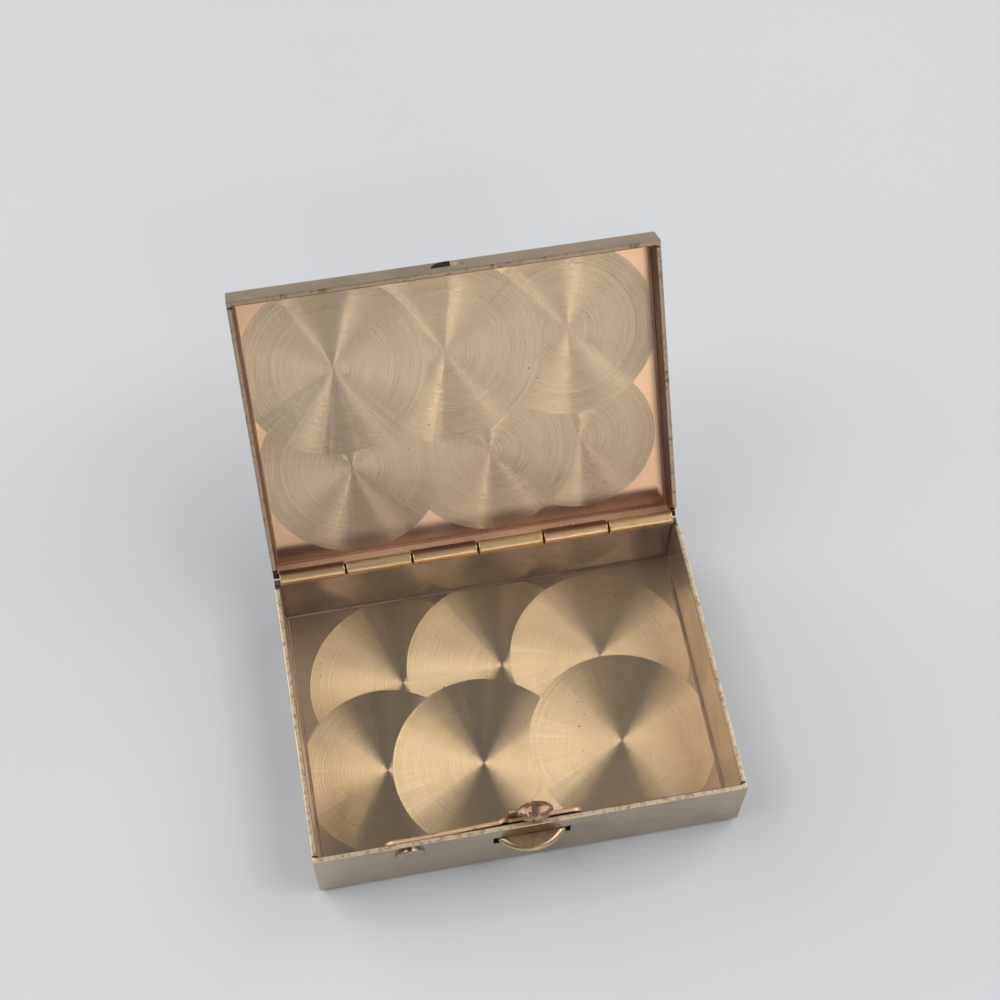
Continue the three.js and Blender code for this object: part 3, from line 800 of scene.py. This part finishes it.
# Radius of each ring and its place from front to back, from the head to the tail
steps = []
for angle in quarter(RIVET_STEPS):
    steps.append((HEAD_RADIUS - HEAD_ROUND * (1 - math.sin(angle)),
                  rivet_low.y + HEAD_ROUND * (1 - math.cos(angle))))
tail = rivet_high.y - TAIL_HEIGHT
steps += [(HEAD_RADIUS, FRONT), (SHANK_RADIUS, FRONT), (SHANK_RADIUS, tail), (TAIL_RADIUS, tail)]
for angle in quarter(RIVET_STEPS)[1:]:
    steps.append((TAIL_RADIUS * (TAIL_FLAT + (1 - TAIL_FLAT) * math.cos(angle)),
                  tail + TAIL_HEIGHT * math.sin(angle)))
loops = [ring(Vector((rivet.x, y, rivet.z)), "Y", radius) for radius, y in steps]
head = object_of(skin(loops), "rivet", [satin_brass])
smooth(head)
hand_in(head, "tray", "sheet_brass", "spring_rivet")


# The catch spring
# A springy strip of copper-coloured bronze inside the front wall. It lies against the wall at the rivet and
# stands off it towards its free right end, with rounded corners and a bright, cut top edge.
STRIP_THICKNESS = 0.55 * MM
STRIP_CORNER = 1.1 * MM
STRIP_CROWN = 0.12 * MM
CROWN_STEPS = 8
# How far the strip stands off the wall at the rivet, and how much more at the push
STRIP_REST = 0.02 * MM
STRIP_STAND = 0.27 * MM
STRIP_COLUMNS = 288
# The kinds of face on the strip, and how far a hidden one leans towards the wall
STRIP_OPEN, STRIP_HIDDEN = range(2)
TOWARDS_WALL = -0.8
# A sharp burr that the shears left on the top edge, just left of the nose
BURR_X = -3.05 * MM
BURR_HALF = 0.45 * MM
BURR_RISE = 0.6 * MM
strip_low, strip_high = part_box("catch_spring")

# Spring bronze: pinkish copper, sheared rough on its top edge.
spring_bronze = worked_metal("spring_bronze", "#eccaa6", "#b08c70", patch_mm=1.2, patches=(0.5, 0.8),
                             grain_mm=0.12, gloss=(0.42, 0.6), relief_mm=0.008)
# Shade-painted bronze: the same strip where it faces the wall, coloured brown-black as a painted shade for
# the gap.
dull_bronze = worked_metal("dull_bronze", "#5a4238", "#2e2420", patch_mm=1.5, patches=(0.3, 0.7),
                           grain_mm=0.2, gloss=(0.45, 0.65), relief_mm=0.01, haze=0.3)


def strip_gap(x):
    """How far the strip stands off the inside of the front wall."""
    along = max(0, min(1, (x - rivet.x) / (PUSH_X - rivet.x)))
    return STRIP_REST + STRIP_STAND * along * along * (3 - 2 * along)


columns = []
for step in range(STRIP_COLUMNS + 1):
    share = (1 - math.cos(math.pi * step / STRIP_COLUMNS)) / 2
    x = strip_low.x + share * (strip_high.x - strip_low.x)
    inset = max(0, STRIP_CORNER - (x - strip_low.x), STRIP_CORNER - (strip_high.x - x))
    drop = STRIP_CORNER - math.sqrt(max(0, STRIP_CORNER ** 2 - inset ** 2))
    middle = FRONT_INSIDE + strip_gap(x) + STRIP_THICKNESS / 2
    burr = BURR_RISE * max(0, 1 - abs(x - BURR_X) / BURR_HALF)
    low, high = strip_low.z + drop, strip_high.z - drop + burr
    column = [(x, middle + STRIP_THICKNESS / 2, low), (x, middle - STRIP_THICKNESS / 2, low)]
    for turn in range(CROWN_STEPS + 1):
        angle = math.pi * turn / CROWN_STEPS
        column.append((x, middle - STRIP_THICKNESS / 2 * math.cos(angle),
                       high - STRIP_CROWN * (1 - math.sin(angle))))
    columns.append(column)
spring_sheet = skin(columns)
# Faces turned to the wall get the brown-black painted shade
for face in spring_sheet.faces:
    face.material_index = STRIP_HIDDEN if face.normal.y < TOWARDS_WALL else STRIP_OPEN
spring = object_of(spring_sheet, "catch_spring_strip", [spring_bronze, dull_bronze])
hole = bmesh.new()
add_bar(hole, SHANK_RADIUS + SOLDER_FILM, (rivet.x, FRONT, rivet.z),
        (rivet.x, FRONT_INSIDE + 2 * BEYOND, rivet.z))
# The rivet hole's faces get the same painted shade
carve(spring, hole, kind=STRIP_HIDDEN)
smooth(spring)
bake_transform(spring)
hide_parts("catch_spring")


# The thumb push
# A half-moon tongue of pressed brass with a dished top and a rolled lip. Its tang runs through the slot and
# is soldered to the strip.
PUSH_REACH = 1.9 * MM
PUSH_TANG = 5.6 * MM
PUSH_ROOT = 0.2 * MM
PUSH_ARC_STEPS = 48
# Shares of the half-moon's size: the two loops of its flat underside, and the width of its lip
PUSH_UNDER = (0.05, 0.84)
LIP = 0.26
LIP_STEPS = 12
DISH_DEPTH = 0.3 * MM
DISH_STEPS = 10
# The kinds of face on the push, in the order of its materials
PUSH_LIP, PUSH_DISH, PUSH_HIDDEN = range(3)

# Pressed brass: the lip, pale yellow and polished by the thumb.
pressed_brass = worked_metal("pressed_brass", "#cdb590", "#a8926f", patch_mm=1.5, patches=(0.5, 0.8),
                             grain_mm=0.4, gloss=(0.28, 0.36), relief_mm=0.0006)
# Dished brass: the hollow behind the lip, matt and brown where the thumb leaves its dirt.
dished_brass = worked_metal("dished_brass", "#b2936e", "#8f7459", patch_mm=1.2, patches=(0.4, 0.75),
                            grain_mm=0.3, gloss=(0.5, 0.6), relief_mm=0.0004, haze=0.85)

half = PUSH_WIDTH / 2
bend = (half * half + PUSH_REACH * PUSH_REACH) / (2 * PUSH_REACH)
sweep = math.asin(half / bend)
top = PUSH_Z + PUSH_THICKNESS / 2
bottom = top - PUSH_THICKNESS
# Share of the half-moon's size and height of each loop, from the middle below, round the lip, to the dish
steps = [(share, bottom) for share in PUSH_UNDER]
for step in range(1, LIP_STEPS + 1):
    angle = math.pi * step / LIP_STEPS
    steps.append((1 - LIP + LIP * math.sin(angle), PUSH_Z - PUSH_THICKNESS / 2 * math.cos(angle)))
# The dish's last loop stops half a step short of its middle
for step in range(1, DISH_STEPS + 1):
    share = (1 - LIP) * (1 - step / (DISH_STEPS + 0.5))
    steps.append((share, top - DISH_DEPTH * (1 - (share / (1 - LIP)) ** 2)))
kinds = [PUSH_LIP] * (len(PUSH_UNDER) + LIP_STEPS) + [PUSH_DISH] * (DISH_STEPS + 1)
arc = [-sweep + 2 * sweep * step / PUSH_ARC_STEPS for step in range(PUSH_ARC_STEPS + 1)]
loops = []
for share, z in steps:
    loop = [(PUSH_X + share * bend * math.sin(a),
             FRONT + share * (bend * (1 - math.cos(a)) - PUSH_REACH), z) for a in arc]
    loops.append(loop + [(loop[-1][0], FRONT + PUSH_ROOT, z), (loop[0][0], FRONT + PUSH_ROOT, z)])
bm = skin(loops, kinds)
moon = set(bm.faces)
tang_end = FRONT_INSIDE + strip_gap(PUSH_X)
add_block(bm, (PUSH_X - PUSH_TANG / 2, FRONT + PUSH_ROOT / 2, bottom),
          (PUSH_X + PUSH_TANG / 2, tang_end, PUSH_Z))
# The tang, seen only through the slot, gets the nearly black painted shade
for face in set(bm.faces) - moon:
    face.material_index = PUSH_HIDDEN
push = object_of(bm, "push", [pressed_brass, dished_brass, grimed_brass])
smooth(push)
hand_in(push, "catch", "sheet_brass", "thumb_push")


# The catch nose
# A small cast hook of bronze, bean-shaped, with a slanting groove left by the file, on a neck that is
# soldered to the strip's inner face. It snaps into the lid's window.
NOSE_HEIGHT = 2.1 * MM
NOSE_DEEP = 1.2 * MM
NOSE_STEPS = 96
# The hook reaches over the wall above this height and within this distance of the nose's middle. Elsewhere
# the nose is cut flat.
HOOK_LOW = 12.8 * MM
HOOK_HALF = 1.5 * MM
NOSE_FLAT = FRONT_INSIDE + 0.3 * MM
NECK_SPAN = (-2.8 * MM, 1.8 * MM)
NECK_THICKNESS = 0.6 * MM
NECK_FOOT = 1.4 * MM
NECK_RISE = 1.2 * MM
NECK_STEPS = 48
# Powers that make the neck's shoulders squarer as the first rises, and its sides flatter as the second falls
NECK_SHOULDER = 4
NECK_SIDES = 0.4
# The groove's place, width and slant, as shares of half the nose's length, and its depth, as one of its girth
GROOVE_PLACE = -0.10
GROOVE_WIDTH = 0.09
GROOVE_SLANT = 0.3
GROOVE_DEPTH = 0.16
nose_low, nose_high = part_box("catch_nose")
NOSE_X = (nose_low.x + nose_high.x) / 2
NOSE_Z = nose_high.z - NOSE_HEIGHT / 2
nose_half = (nose_high.x - nose_low.x) / 2
nose_y = nose_low.y + NOSE_DEEP

# Cast bronze: a smooth brown skin, darker in patches where dirt has stayed.
cast_bronze = worked_metal("cast_bronze", "#b39178", "#8c7060", patch_mm=1.5, patches=(0.4, 0.75),
                           grain_mm=0.3, gloss=(0.24, 0.32), relief_mm=0.001, haze=0.25)

loops = []
for step in range(1, NOSE_STEPS):
    along = -math.cos(math.pi * step / NOSE_STEPS)
    x = NOSE_X + along * nose_half
    loop = []
    for point in ring(Vector((x, 0, 0)), "X", 1, NOSE_STEPS):
        off = (along - GROOVE_PLACE + GROOVE_SLANT * point.z) / GROOVE_WIDTH
        girth = math.sqrt(1 - along * along) * (1 - GROOVE_DEPTH * math.exp(-off ** 2))
        y, z = nose_y + NOSE_DEEP * girth * point.y, NOSE_Z + NOSE_HEIGHT / 2 * girth * point.z
        if z < HOOK_LOW or abs(x - NOSE_X) > HOOK_HALF:
            y = max(y, NOSE_FLAT)
        loop.append((x, y, z))
    loops.append(loop)
nose = object_of(skin(loops), "nose", [cast_bronze])

# The neck is a flat, round-shouldered lug
neck_y = FRONT_INSIDE + strip_gap(NOSE_X) + STRIP_THICKNESS + NECK_THICKNESS / 2
neck_x, neck_half = sum(NECK_SPAN) / 2, (NECK_SPAN[1] - NECK_SPAN[0]) / 2
neck_z, neck_tall = strip_high.z + (NECK_RISE - NECK_FOOT) / 2, (NECK_RISE + NECK_FOOT) / 2
loops = []
for step in range(1, NECK_STEPS):
    along = -math.cos(math.pi * step / NECK_STEPS)
    girth = math.sqrt(1 - along ** NECK_SHOULDER)
    loop = []
    for point in ring(Vector((neck_x + along * neck_half, 0, 0)), "X", 1, NECK_STEPS):
        flat = math.copysign(abs(point.y) ** NECK_SIDES, point.y)
        loop.append((point.x, neck_y + NECK_THICKNESS / 2 * flat * girth,
                     neck_z + neck_tall * girth * point.z))
    loops.append(loop)
carve(nose, skin(loops), kind=0, operation="UNION")
smooth(nose)
hand_in(nose, "catch", "spring_bronze", "catch_nose")
